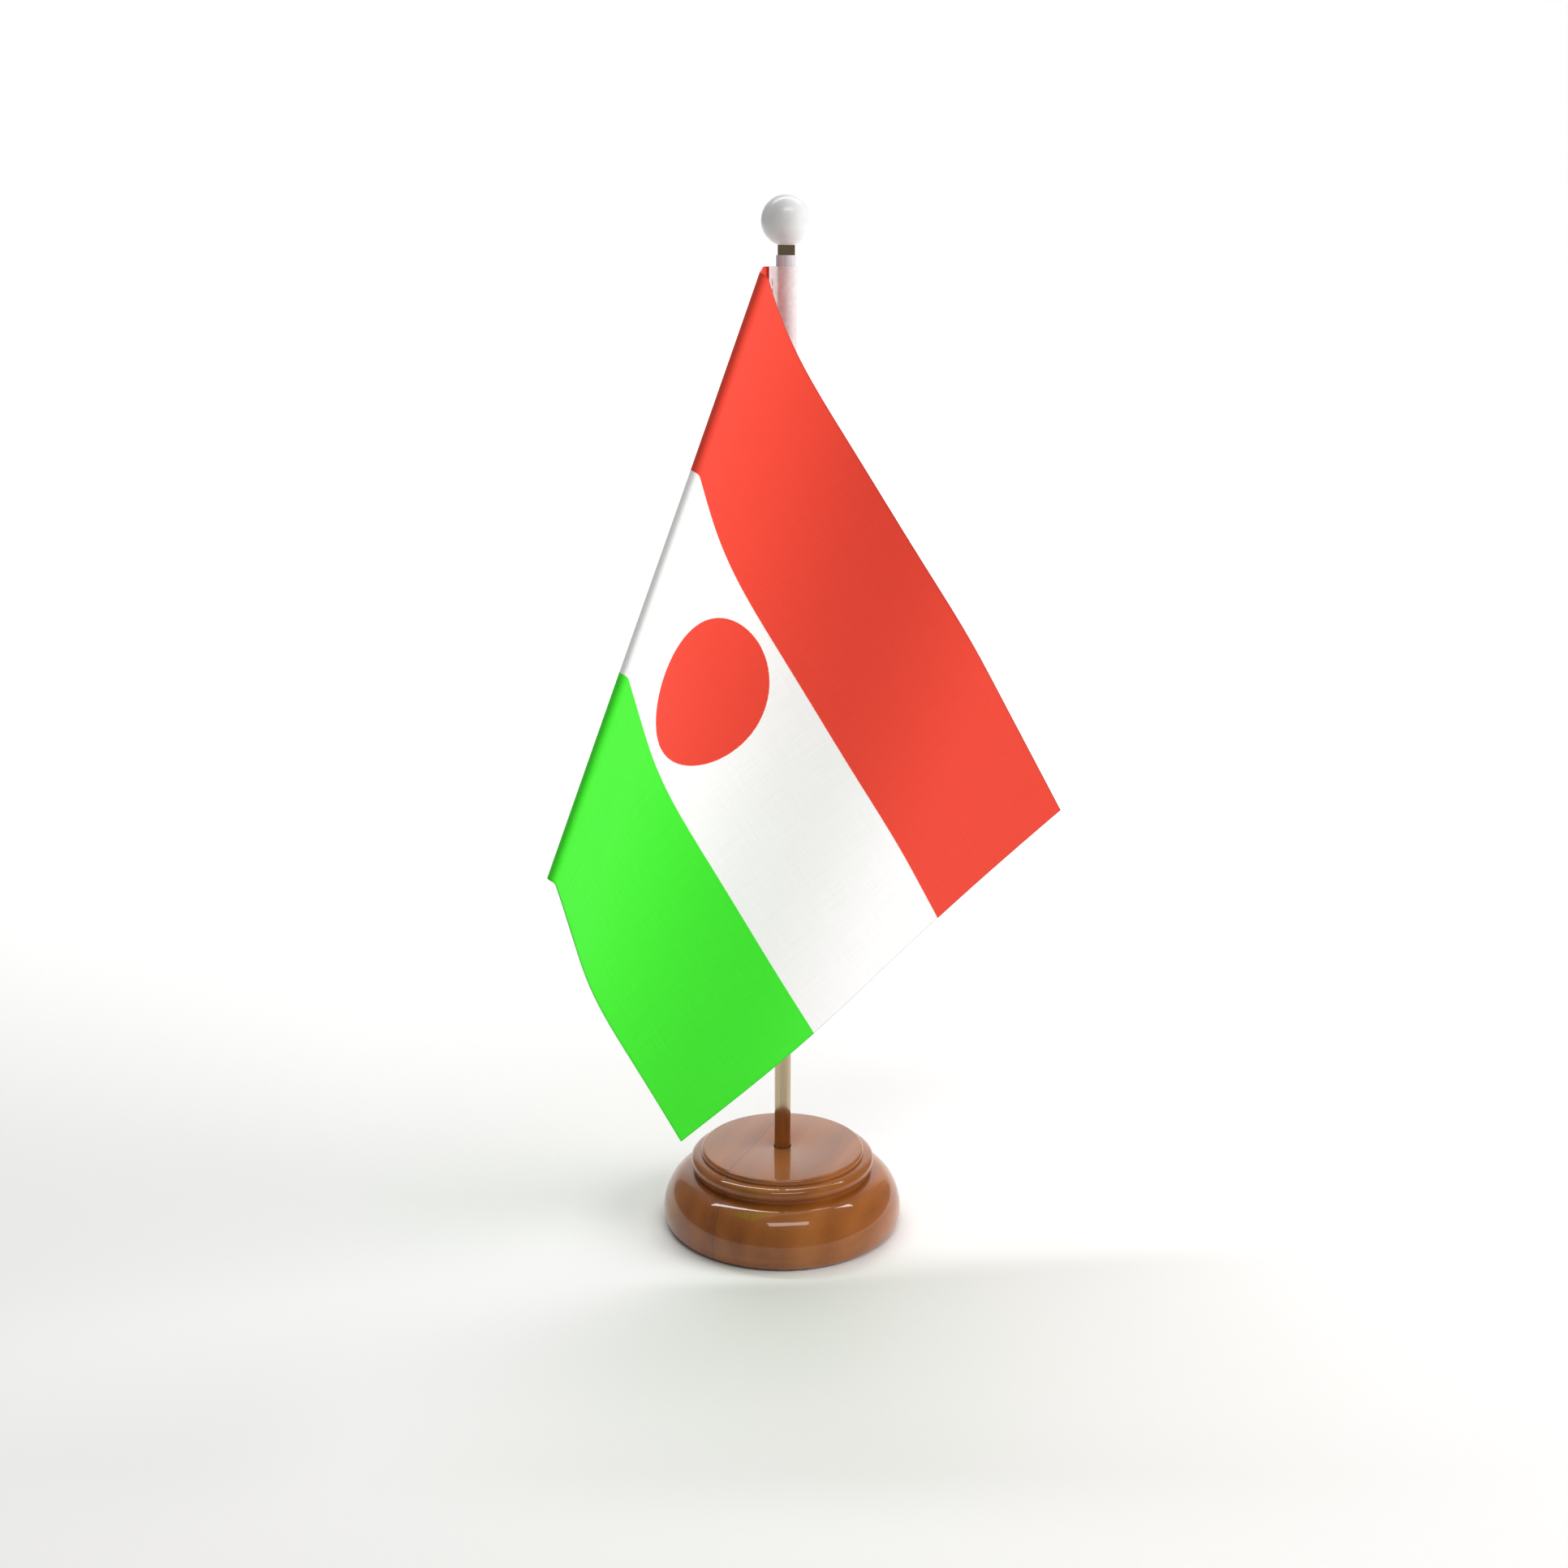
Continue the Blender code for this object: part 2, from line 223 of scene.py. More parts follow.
wood, wood_shader = new_material("lacquered_wood", Roughness=0.42, Coat_Weight=1.0, Coat_Roughness=0.06)
wood_shader.inputs["Coat IOR"].default_value = 1.5
wood_shader.inputs["Specular IOR Level"].default_value = 0.15
add, join = node_maker(wood)
where = add("ShaderNodeTexCoord")
along_grain = add("ShaderNodeMapping", in_Rotation=(0, 0, radians(21)))
join(where.outputs["Object"], along_grain.inputs["Vector"])
stretch = add("ShaderNodeMapping", in_Scale=(1.0, 0.09, 0.55))
join(along_grain.outputs["Vector"], stretch.inputs["Vector"])
# Broad colour drift across the board
drift = add("ShaderNodeTexNoise", in_Scale=75.0, in_Detail=3.0, in_Roughness=0.5, in_Distortion=0.6)
join(stretch.outputs["Vector"], drift.inputs["Vector"])
# Growth rings, cut at a slant, so that they show as long soft streaks
rings = add("ShaderNodeTexWave", wave_type="BANDS", bands_direction="X")
rings.inputs["Scale"].default_value = 26.0
rings.inputs["Distortion"].default_value = 9.0
rings.inputs["Detail"].default_value = 3.0
rings.inputs["Detail Scale"].default_value = 0.9
join(stretch.outputs["Vector"], rings.inputs["Vector"])
# Fine pores
pores = add("ShaderNodeTexNoise", in_Scale=1500.0, in_Detail=4.0, in_Roughness=0.6)
join(stretch.outputs["Vector"], pores.inputs["Vector"])
tone = add("ShaderNodeMath", operation="MULTIPLY_ADD", in_1=0.10, in_2=0.04)
join(rings.outputs["Fac"], tone.inputs[0])
tone_drift = add("ShaderNodeMath", operation="MULTIPLY_ADD", in_1=0.80)
join(drift.outputs["Fac"], tone_drift.inputs[0])
join(tone.outputs[0], tone_drift.inputs[2])
tone_pores = add("ShaderNodeMath", operation="MULTIPLY_ADD", in_1=0.22)
join(pores.outputs["Fac"], tone_pores.inputs[0])
join(tone_drift.outputs[0], tone_pores.inputs[2])
stain = add("ShaderNodeValToRGB")
stain.color_ramp.elements[0].position = 0.30
stain.color_ramp.elements[0].color = (0.165, 0.044, 0.007, 1)
stain.color_ramp.elements[1].position = 0.95
stain.color_ramp.elements[1].color = (0.400, 0.136, 0.024, 1)
middle = stain.color_ramp.elements.new(0.62)
middle.color = (0.300, 0.090, 0.014, 1)
join(tone_pores.outputs[0], stain.inputs["Fac"])
# Painted reflection of the flag's lower edge in the lacquer: a hair-thin dark line a third of the way across
# the top, fading along its length
apart = add("ShaderNodeSeparateXYZ")
join(along_grain.outputs["Vector"], apart.inputs["Vector"])
off_line = add("ShaderNodeMath", operation="ADD", in_1=REFLECTED_EDGE_OFF_AXIS)
join(apart.outputs["X"], off_line.inputs[0])
off_size = add("ShaderNodeMath", operation="ABSOLUTE")
join(off_line.outputs[0], off_size.inputs[0])
line = add("ShaderNodeMapRange", interpolation_type="SMOOTHSTEP")
line.inputs["From Min"].default_value = 0.00008
line.inputs["From Max"].default_value = 0.00026
line.inputs["To Min"].default_value = 1.0
line.inputs["To Max"].default_value = 0.0
join(off_size.outputs[0], line.inputs["Value"])
reflected_edge_fades = add("ShaderNodeTexNoise", in_Scale=60.0, in_Detail=1.0)
join(along_grain.outputs["Vector"], reflected_edge_fades.inputs["Vector"])
reflected_edge_strength = add("ShaderNodeMath", operation="MULTIPLY", use_clamp=True)
join(line.outputs["Result"], reflected_edge_strength.inputs[0])
join(reflected_edge_fades.outputs["Fac"], reflected_edge_strength.inputs[1])
# The painted reflection of the flag's edge is laid over the stain colour here
stain_and_reflected_edge = add("ShaderNodeMix", data_type="RGBA", blend_type="MIX")
stain_and_reflected_edge.inputs[7].default_value = (0.06, 0.025, 0.012, 1)
join(reflected_edge_strength.outputs[0], stain_and_reflected_edge.inputs["Factor"])
join(stain.outputs["Color"], stain_and_reflected_edge.inputs[6])
join(stain_and_reflected_edge.outputs[2], wood_shader.inputs["Base Color"])
pore_relief = add("ShaderNodeBump", in_Strength=0.10, in_Distance=0.0001)
join(pores.outputs["Fac"], pore_relief.inputs["Height"])
join(pore_relief.outputs["Normal"], wood_shader.inputs["Normal"])
# The lacquer itself has a faint orange peel
peel = add("ShaderNodeTexNoise", in_Scale=240.0, in_Detail=1.0)
join(where.outputs["Object"], peel.inputs["Vector"])
peel_relief = add("ShaderNodeBump", in_Strength=0.05, in_Distance=0.0001)
join(peel.outputs["Fac"], peel_relief.inputs["Height"])
join(peel_relief.outputs["Normal"], wood_shader.inputs["Coat Normal"])
base.data.materials.append(wood)
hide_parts("wooden_base")
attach(base, "base")


# Pad: a disc of pressed green felt, punched out and glued into the shallow recess under the base so that
# it stands a little proud and keeps the lacquer off the desk.
pad_outline = [(0, PAD_THICKNESS)] + arc((PAD_RADIUS - 0.0002, 0.0010), (0.0002, 0.0002), 90, 0, 3)
pad_outline += arc((PAD_RADIUS - 0.0004, 0.0004), (0.0004, 0.0004), 0, -90, 5) + [(0, 0)]
pad = turned_piece("felt_pad", pad_outline)
felt, felt_shader = new_material("green_felt", Roughness=0.95, Sheen_Weight=0.6, Sheen_Roughness=0.5)
felt_shader.inputs["Specular IOR Level"].default_value = 0.15
add, join = node_maker(felt)
where = add("ShaderNodeTexCoord")
fibres = add("ShaderNodeTexNoise", in_Scale=1400.0, in_Detail=6.0, in_Roughness=0.7, in_Distortion=1.5)
matting = add("ShaderNodeTexNoise", in_Scale=180.0, in_Detail=2.0)
join(where.outputs["Object"], fibres.inputs["Vector"])
join(where.outputs["Object"], matting.inputs["Vector"])
felt_tone = add("ShaderNodeMath", operation="MULTIPLY_ADD", in_1=0.6)
join(fibres.outputs["Fac"], felt_tone.inputs[0])
join(matting.outputs["Fac"], felt_tone.inputs[2])
felt_colour = add("ShaderNodeValToRGB")
felt_colour.color_ramp.elements[0].position = 0.5
felt_colour.color_ramp.elements[0].color = (0.006, 0.020, 0.011, 1)
felt_colour.color_ramp.elements[1].position = 1.0
felt_colour.color_ramp.elements[1].color = (0.030, 0.075, 0.045, 1)
join(felt_tone.outputs[0], felt_colour.inputs["Fac"])
join(felt_colour.outputs["Color"], felt_shader.inputs["Base Color"])
felt_relief = add("ShaderNodeBump", in_Strength=0.7, in_Distance=0.0003)
join(fibres.outputs["Fac"], felt_relief.inputs["Height"])
join(felt_relief.outputs["Normal"], felt_shader.inputs["Normal"])
pad.data.materials.append(felt)
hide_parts("base_pad")
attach(pad, "base")


# Socket: a thin brass cup, turned from bar and pressed into the hole in the base from below. Its bore
# holds the pole upright, and its floor stops the pole.
socket_outline = [(0, 0.0028), (POLE_HOLE, 0.0028), (POLE_HOLE, SOCKET_TOP - 0.0002)]
socket_outline += arc((SOCKET_RADIUS - 0.00035, SOCKET_TOP - 0.0002), (0.00035, 0.0002), 180, 0, 6)[1:]
socket_outline += arc((SOCKET_RADIUS - 0.0003, 0.0021), (0.0003, 0.0003), 0, -90, 4) + [(0, 0.0018)]
socket = turned_piece("brass_socket", socket_outline, steps=96)
brass, brass_shader = new_material("turned_brass", Metallic=1.0)
brass_shader.inputs["Base Color"].default_value = (0.72, 0.50, 0.19, 1)
add, join = node_maker(brass)
where = add("ShaderNodeTexCoord")
tool_marks = add("ShaderNodeTexWave", wave_type="BANDS", bands_direction="Z")
tool_marks.inputs["Scale"].default_value = 1800.0
tool_marks.inputs["Distortion"].default_value = 0.4
tarnish = add("ShaderNodeTexNoise", in_Scale=420.0, in_Detail=4.0)
join(where.outputs["Object"], tool_marks.inputs["Vector"])
join(where.outputs["Object"], tarnish.inputs["Vector"])
dullness = add("ShaderNodeMapRange")
dullness.inputs["To Min"].default_value = 0.22
dullness.inputs["To Max"].default_value = 0.42
join(tarnish.outputs["Fac"], dullness.inputs["Value"])
join(dullness.outputs["Result"], brass_shader.inputs["Roughness"])
mark_relief = add("ShaderNodeBump", in_Strength=0.12, in_Distance=0.00005)
join(tool_marks.outputs["Fac"], mark_relief.inputs["Height"])
join(mark_relief.outputs["Normal"], brass_shader.inputs["Normal"])
socket.data.materials.append(brass)
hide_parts("pole_socket")
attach(socket, "base")


# Pole: a drawn steel tube, cut to length, its ends deburred, and plated with bright chrome. It stands
# loose in the socket and lifts out.
POLE_RADIUS = 0.0025
POLE_BORE = 0.0020
POLE_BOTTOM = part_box("pole")[0].z
POLE_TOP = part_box("pole")[1].z
pole_outline = [(POLE_BORE, POLE_BOTTOM + 0.0001), (POLE_BORE, POLE_TOP - 0.0001)]
pole_outline += [(POLE_BORE + 0.0001, POLE_TOP)]
pole_outline += arc((POLE_RADIUS - 0.0002, POLE_TOP - 0.0002), (0.0002, 0.0002), 90, 0, 4)
pole_outline += arc((POLE_RADIUS - 0.0002, POLE_BOTTOM + 0.0002), (0.0002, 0.0002), 0, -90, 4)
pole_outline += [(POLE_BORE + 0.0001, POLE_BOTTOM)]
pole = turned_piece("chromed_pole", pole_outline, steps=96)
chrome, chrome_shader = new_material("bright_chrome", Metallic=1.0)
add, join = node_maker(chrome)
where = add("ShaderNodeTexCoord")
lengthwise = add("ShaderNodeMapping", in_Scale=(1.0, 1.0, 0.012))
join(where.outputs["Object"], lengthwise.inputs["Vector"])
draw_lines = add("ShaderNodeTexNoise", in_Scale=2600.0, in_Detail=3.0, in_Roughness=0.6)
join(lengthwise.outputs["Vector"], draw_lines.inputs["Vector"])
haze = add("ShaderNodeTexNoise", in_Scale=90.0, in_Detail=3.0)
join(where.outputs["Object"], haze.inputs["Vector"])
polish = add("ShaderNodeMapRange")
polish.inputs["To Min"].default_value = 0.07
polish.inputs["To Max"].default_value = 0.17
join(haze.outputs["Fac"], polish.inputs["Value"])
join(polish.outputs["Result"], chrome_shader.inputs["Roughness"])
plate_tone = add("ShaderNodeValToRGB")
plate_tone.color_ramp.elements[0].position = 0.3
plate_tone.color_ramp.elements[0].color = (0.45, 0.35, 0.23, 1)
plate_tone.color_ramp.elements[1].position = 0.7
plate_tone.color_ramp.elements[1].color = (0.55, 0.44, 0.30, 1)
join(draw_lines.outputs["Fac"], plate_tone.inputs["Fac"])
join(plate_tone.outputs["Color"], chrome_shader.inputs["Base Color"])
draw_relief = add("ShaderNodeBump", in_Strength=0.06, in_Distance=0.00003)
join(draw_lines.outputs["Fac"], draw_relief.inputs["Height"])
join(draw_relief.outputs["Normal"], chrome_shader.inputs["Normal"])
pole.data.materials.append(chrome)
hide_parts("pole")
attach(pole, "pole")


# Finial: a ball moulded in white plastic and polished, with a blind hole in its flat underside. It is
# pushed over the end of the pole and holds by friction.
BALL_RADIUS = 0.00715
BALL_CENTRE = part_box("finial_ball")[1].z - BALL_RADIUS
BALL_HOLE = POLE_RADIUS + 0.0001
hole_top = POLE_TOP + 0.0003
mouth = np.degrees(np.arccos((BALL_HOLE + 0.00025) / BALL_RADIUS))
ball_outline = arc((0, BALL_CENTRE), (BALL_RADIUS, BALL_RADIUS), 90, -mouth, 60)
ball_bottom = ball_outline[-1][1]
ball_outline[0] = (0, ball_outline[0][1])
ball_outline += arc((BALL_HOLE + 0.00025, ball_bottom + 0.00020), (0.00025, 0.0002), 270, 180, 4)[1:]
ball_outline += [(BALL_HOLE, hole_top), (0, hole_top)]
ball = turned_piece("white_ball", ball_outline, steps=128)
ball_plastic, ball_shader = new_material("polished_white_plastic", Roughness=0.30)
ball_shader.inputs["Subsurface Weight"].default_value = 0.15
ball_shader.inputs["Subsurface Radius"].default_value = (0.002, 0.002, 0.0018)
ball_shader.inputs["Subsurface Scale"].default_value = 0.5
ball_shader.inputs["Coat Weight"].default_value = 0.35
ball_shader.inputs["Coat Roughness"].default_value = 0.12
add, join = node_maker(ball_plastic)
where = add("ShaderNodeTexCoord")
cloudiness = add("ShaderNodeTexNoise", in_Scale=260.0, in_Detail=3.0)
join(where.outputs["Object"], cloudiness.inputs["Vector"])
ball_tone = add("ShaderNodeValToRGB")
ball_tone.color_ramp.elements[0].position = 0.3
ball_tone.color_ramp.elements[0].color = (0.78, 0.78, 0.79, 1)
ball_tone.color_ramp.elements[1].position = 0.7
ball_tone.color_ramp.elements[1].color = (0.83, 0.83, 0.83, 1)
join(cloudiness.outputs["Fac"], ball_tone.inputs["Fac"])
join(ball_tone.outputs["Color"], ball_shader.inputs["Base Color"])
waviness = add("ShaderNodeBump", in_Strength=0.05, in_Distance=0.0002)
join(cloudiness.outputs["Fac"], waviness.inputs["Height"])
join(waviness.outputs["Normal"], ball_shader.inputs["Normal"])
ball.data.materials.append(ball_plastic)
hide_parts("finial_ball")
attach(ball, "finial")


# Liner: a length of thin-walled milky plastic tube, extruded and cut square. It slips over the pole, grips
# it lightly, and carries the flag's header, of which it shows a few millimetres at the top.
LINER_BORE = 0.0026
LINER_RADIUS = 0.0029
LINER_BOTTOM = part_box("sleeve_liner")[0].z
LINER_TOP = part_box("sleeve_liner")[1].z
liner_outline = [(LINER_BORE, LINER_BOTTOM)]
liner_outline += arc((LINER_RADIUS - 0.00015, LINER_BOTTOM + 0.00015), (0.00015, 0.00015), -90, 0, 3)
liner_outline += arc((LINER_RADIUS - 0.00015, LINER_TOP - 0.00015), (0.00015, 0.00015), 0, 90, 3)
liner_outline += [(LINER_BORE, LINER_TOP)]
liner = turned_piece("liner_tube", liner_outline, steps=96)
milky, milky_shader = new_material("milky_plastic", Roughness=0.38, Coat_Weight=0.2, Coat_Roughness=0.2)
add, join = node_maker(milky)
where = add("ShaderNodeTexCoord")
lengthwise = add("ShaderNodeMapping", in_Scale=(1.0, 1.0, 0.05))
join(where.outputs["Object"], lengthwise.inputs["Vector"])
die_lines = add("ShaderNodeTexNoise", in_Scale=1800.0, in_Detail=2.0)
join(lengthwise.outputs["Vector"], die_lines.inputs["Vector"])
milky_tone = add("ShaderNodeValToRGB")
milky_tone.color_ramp.elements[0].position = 0.3
milky_tone.color_ramp.elements[0].color = (0.60, 0.55, 0.60, 1)
milky_tone.color_ramp.elements[1].position = 0.7
milky_tone.color_ramp.elements[1].color = (0.78, 0.72, 0.75, 1)
join(die_lines.outputs["Fac"], milky_tone.inputs["Fac"])
join(milky_tone.outputs["Color"], milky_shader.inputs["Base Color"])
die_relief = add("ShaderNodeBump", in_Strength=0.1, in_Distance=0.00004)
join(die_lines.outputs["Fac"], die_relief.inputs["Height"])
join(die_relief.outputs["Normal"], milky_shader.inputs["Normal"])
liner.data.materials.append(milky)
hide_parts("sleeve_liner")
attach(liner, "liner")


# Header: a strip of white woven tape folded round the liner. Its two ends run out as tabs on both faces
# of the flag's hoist edge and are sewn through.
HEADER_RADIUS = 0.00325
HEADER_WALL = 0.00025
HEADER_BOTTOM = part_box("header_sleeve")[0].z
HEADER_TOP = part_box("header_sleeve")[1].z
TAB_LENGTH = 0.0030
LEAVES_POLE_AT = 145.2
SLIT_HALF = 0.0005
middle_radius = HEADER_RADIUS - HEADER_WALL / 2
middle_slit = SLIT_HALF + HEADER_WALL / 2
slit_angle = np.degrees(np.arcsin(middle_slit / middle_radius))
tape_path = [(HEADER_RADIUS + TAB_LENGTH, middle_slit), (HEADER_RADIUS + TAB_LENGTH / 2, middle_slit)]
tape_path += arc((0, 0), (middle_radius, middle_radius), slit_angle, 360 - slit_angle, 64)
tape_path += [(HEADER_RADIUS + TAB_LENGTH / 2, -middle_slit), (HEADER_RADIUS + TAB_LENGTH, -middle_slit)]
lead_x, lead_y = cos(radians(LEAVES_POLE_AT)), -sin(radians(LEAVES_POLE_AT))
tape_path = [(a * lead_x - b * lead_y, a * lead_y + b * lead_x) for a, b in tape_path]
deselect_all()
bpy.ops.mesh.primitive_plane_add(size=0.001, location=(0, 0, 0))
header = bpy.context.object
header.name = "header_tape"
bpy.ops.object.mode_set(mode="EDIT")
bpy.ops.mesh.merge(type="CENTER")
bpy.ops.transform.translate(value=(*tape_path[0], HEADER_BOTTOM))
for (x0, y0), (x1, y1) in zip(tape_path, tape_path[1:]):
    bpy.ops.mesh.extrude_region_move(TRANSFORM_OT_translate={"value": (x1 - x0, y1 - y0, 0)})
bpy.ops.mesh.select_all(action="SELECT")
tape_rows = 60
row_height = (HEADER_TOP - HEADER_BOTTOM) / tape_rows
for row in range(tape_rows):
    bpy.ops.mesh.extrude_region_move(TRANSFORM_OT_translate={"value": (0, 0, row_height)})
bpy.ops.mesh.select_all(action="SELECT")
bpy.ops.mesh.normals_make_consistent(inside=False)
bpy.ops.object.mode_set(mode="OBJECT")
wall = header.modifiers.new("tape_thickness", "SOLIDIFY")
wall.thickness = HEADER_WALL * 0.9
wall.offset = 0
bpy.ops.object.modifier_apply(modifier="tape_thickness")
bpy.ops.object.shade_smooth_by_angle(angle=radians(40))
tape, tape_shader = new_material("white_tape", Roughness=0.8, Sheen_Weight=0.3, Sheen_Roughness=0.4)
tape_shader.inputs["Specular IOR Level"].default_value = 0.25
add, join = node_maker(tape)
where = add("ShaderNodeTexCoord")
weft = add("ShaderNodeTexWave", wave_type="BANDS", bands_direction="Z")
weft.inputs["Scale"].default_value = 900.0
weft.inputs["Distortion"].default_value = 0.6
join(where.outputs["Object"], weft.inputs["Vector"])
slub = add("ShaderNodeTexNoise", in_Scale=700.0, in_Detail=3.0)
join(where.outputs["Object"], slub.inputs["Vector"])
tape_tone = add("ShaderNodeValToRGB")
tape_tone.color_ramp.elements[0].position = 0.2
tape_tone.color_ramp.elements[0].color = (0.70, 0.60, 0.61, 1)
tape_tone.color_ramp.elements[1].position = 0.8
tape_tone.color_ramp.elements[1].color = (0.86, 0.78, 0.78, 1)
join(slub.outputs["Fac"], tape_tone.inputs["Fac"])
join(tape_tone.outputs["Color"], tape_shader.inputs["Base Color"])
tape_relief = add("ShaderNodeBump", in_Strength=0.35, in_Distance=0.00006)
join(weft.outputs["Fac"], tape_relief.inputs["Height"])
join(tape_relief.outputs["Normal"], tape_shader.inputs["Normal"])
header.data.materials.append(tape)
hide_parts("header_sleeve")
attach(header, "flag")


# Flag: one piece of plain-woven polyester, printed through in three equal bands, red, white and green,
# with a red disc in the middle, and cut with a hot knife that seals its edges. It hangs from the header,
# turns round a slanting fold at the front and falls to the right.
FLAG_FLY = 0.225
FLAG_HOIST = 0.150
CLOTH_THICKNESS = 0.0003
CURL_AT_TOP = 0.0015
DROOP_BEHIND = 3.6
FOLD_SLANT = 38.3
FOLD_START = (0.0148, -0.0150)
FOLD_SPAN = 0.004
FOLD_FROM = (92.3, 95.6)
FOLD_TO = (-68.6, -81.2)
FALL_AFTER_FOLD = (53.2, 52.0)
EASE_START = 0.0123
EASE_SPAN = 0.0635
EASE_TO = (-1.8, -28.0)
FALL_EASED = (57.7, 61.8)
TURN_START = 0.0800
TURN_SPAN = 0.0501
TURN_TO = (-42.0, -62.0)
FALL_AT_FLY = 54.1
CELLS_BEHIND = 90
CELLS_IN_FOLD = 16
CELLS_IN_FRONT = 130
CELLS_HOIST = 120
CLOTH_FROM_HEADER = 0.0003
DISC_RADIUS = 0.85 * FLAG_HOIST / 6
INK_BLEED = 0.00012
THREADS_PER_METRE = 3200
FUSED_WIDTH = 0.00045
FUSED_BLUR = 0.00015


def ease(x):
    """0 before 0, 1 after 1, and a smooth step between."""
    x = np.clip(x, 0, 1)
    return x * x * (3 - 2 * x)


def at_height(pair, share):
    """A value that changes evenly from the flag's top edge to its bottom edge."""
    return pair[0] + (pair[1] - pair[0]) * share


def hanging_cloth():
    """Where each crossing of the cloth lies, row by row from the hoist to the fly, and how far along it is.

    Each thread that runs fly-wise keeps its cut length. It curls from the header towards the front, turns
    sharply round a slanting fold, opens to the right, and turns away a little near the fly.
    """
    stride = 0.00025
    along = np.arange(0, FLAG_FLY + stride, stride)[:, None]
    down = np.linspace(0, FLAG_HOIST, CELLS_HOIST + 1)[None, :]
    share = down / FLAG_HOIST
    slant = radians(FOLD_SLANT)
    straight = TAB_LENGTH + CLOTH_FROM_HEADER
    free = np.clip(along - straight, 0, None)
    past = free * cos(slant) - down * sin(slant)
    fold_start = at_height(FOLD_START, share)
    curled = ease(free / (CURL_AT_TOP + down * np.tan(slant)))
    folded = ease((past - fold_start) / FOLD_SPAN)
    eased = ease((past - EASE_START) / EASE_SPAN)
    turned_away = ease((past - TURN_START) / TURN_SPAN)
    fold_from, fold_to = at_height(FOLD_FROM, share), at_height(FOLD_TO, share)
    ease_to, turn_to = at_height(EASE_TO, share), at_height(TURN_TO, share)
    azimuth = np.radians(
        LEAVES_POLE_AT
        + (fold_from - LEAVES_POLE_AT) * curled
        + (fold_to - fold_from) * folded
        + (ease_to - fold_to) * eased
        + (turn_to - ease_to) * turned_away
    )
    fall_after, fall_eased = at_height(FALL_AFTER_FOLD, share), at_height(FALL_EASED, share)
    fall = np.radians(
        DROOP_BEHIND * curled * (1 - folded)
        + fall_after * folded
        + (fall_eased - fall_after) * eased
        + (FALL_AT_FLY - fall_eased) * turned_away
    )
    heading = np.stack(
        [np.cos(fall) * np.cos(azimuth), -np.cos(fall) * np.sin(azimuth), -np.sin(fall)], axis=-1
    )
    run = np.cumsum((heading[1:] + heading[:-1]) / 2 * stride, axis=0)
    run = np.concatenate([np.zeros_like(run[:1]), run])
    reach = HEADER_RADIUS + CLOTH_FROM_HEADER
    hoist = np.stack(
        [0 * down[0] + lead_x * reach, 0 * down[0] + lead_y * reach, HEADER_TOP - down[0]], axis=-1
    )
    # The columns follow the fold, so that its turn is round in every row.
    fold_at = straight + (fold_start + down * sin(slant)) / cos(slant)
    fold_end = fold_at + FOLD_SPAN / cos(slant)
    behind = fold_at * np.linspace(0, 1, CELLS_BEHIND + 1)[:, None]
    turn = fold_at + (fold_end - fold_at) * np.linspace(0, 1, CELLS_IN_FOLD + 1)[1:, None]
    front = fold_end + (FLAG_FLY - fold_end) * np.linspace(0, 1, CELLS_IN_FRONT + 1)[1:, None]
    stations = np.concatenate([behind, turn, front])
    low = np.minimum((stations / stride).astype(int), len(run) - 2)
    part_way = (stations / stride - low)[..., None]
    rows = np.arange(CELLS_HOIST + 1)[None, :]
    places = run[low, rows] * (1 - part_way) + run[low + 1, rows] * part_way + hoist[None]
    return places, stations


CELLS_FLY = CELLS_BEHIND + CELLS_IN_FOLD + CELLS_IN_FRONT
deselect_all()
bpy.ops.mesh.primitive_grid_add(
    x_subdivisions=CELLS_FLY, y_subdivisions=CELLS_HOIST, size=1, calc_uvs=True, location=(0, 0, 0)
)
flag = bpy.context.object
flag.name = "printed_flag"
laid_flat = np.zeros(len(flag.data.vertices) * 3)
flag.data.vertices.foreach_get("co", laid_flat)
laid_flat = laid_flat.reshape(-1, 3)
column = np.rint((laid_flat[:, 0] + 0.5) * CELLS_FLY).astype(int)
rank = np.rint((0.5 - laid_flat[:, 1]) * CELLS_HOIST).astype(int)
places, stations = hanging_cloth()
flag.data.vertices.foreach_set("co", places[column, rank].ravel())
flag.data.update()
# The print lies on the cloth as cut, so the map runs from hoist to fly and from bottom edge to top edge.
flat_map = flag.data.uv_layers[0]
flat_map.name = "cut"
corner = np.zeros(len(flag.data.loops), int)
flag.data.loops.foreach_get("vertex_index", corner)
share_of_cloth = np.stack([stations[column, rank] / FLAG_FLY, 1 - rank / CELLS_HOIST], axis=-1)
flat_map.data.foreach_set("uv", share_of_cloth[corner].ravel())
weight = flag.modifiers.new("cloth_thickness", "SOLIDIFY")
weight.thickness = CLOTH_THICKNESS
weight.offset = 0
bpy.ops.object.modifier_apply(modifier="cloth_thickness")
bpy.ops.object.shade_smooth_by_angle(angle=radians(40))

cloth, cloth_shader = new_material("printed_cloth", Roughness=0.78, Sheen_Weight=0.15, Sheen_Roughness=0.4)
cloth_shader.inputs["Specular IOR Level"].default_value = 0.2
add, join = node_maker(cloth)
cut = add("ShaderNodeUVMap", uv_map="cut")
apart = add("ShaderNodeSeparateXYZ")
join(cut.outputs["UV"], apart.inputs["Vector"])


def maths(operation, first, second=0.0, third=0.0):
    """One sum on sockets or plain numbers."""
    node = add("ShaderNodeMath", operation=operation)
    for place, value in enumerate((first, second, third)):
        if isinstance(value, (int, float)):
            node.inputs[place].default_value = value
        else:
            join(value, node.inputs[place])
    return node.outputs[0]


def printed_over(below, ink, mask):
    """One colour printed over another where the mask is 1."""
    mix = add("ShaderNodeMix", data_type="RGBA")
    join(mask, mix.inputs[0])
    if isinstance(below, tuple):
        mix.inputs[6].default_value = below
    else:
        join(below, mix.inputs[6])
    mix.inputs[7].default_value = ink
    return mix.outputs[2]


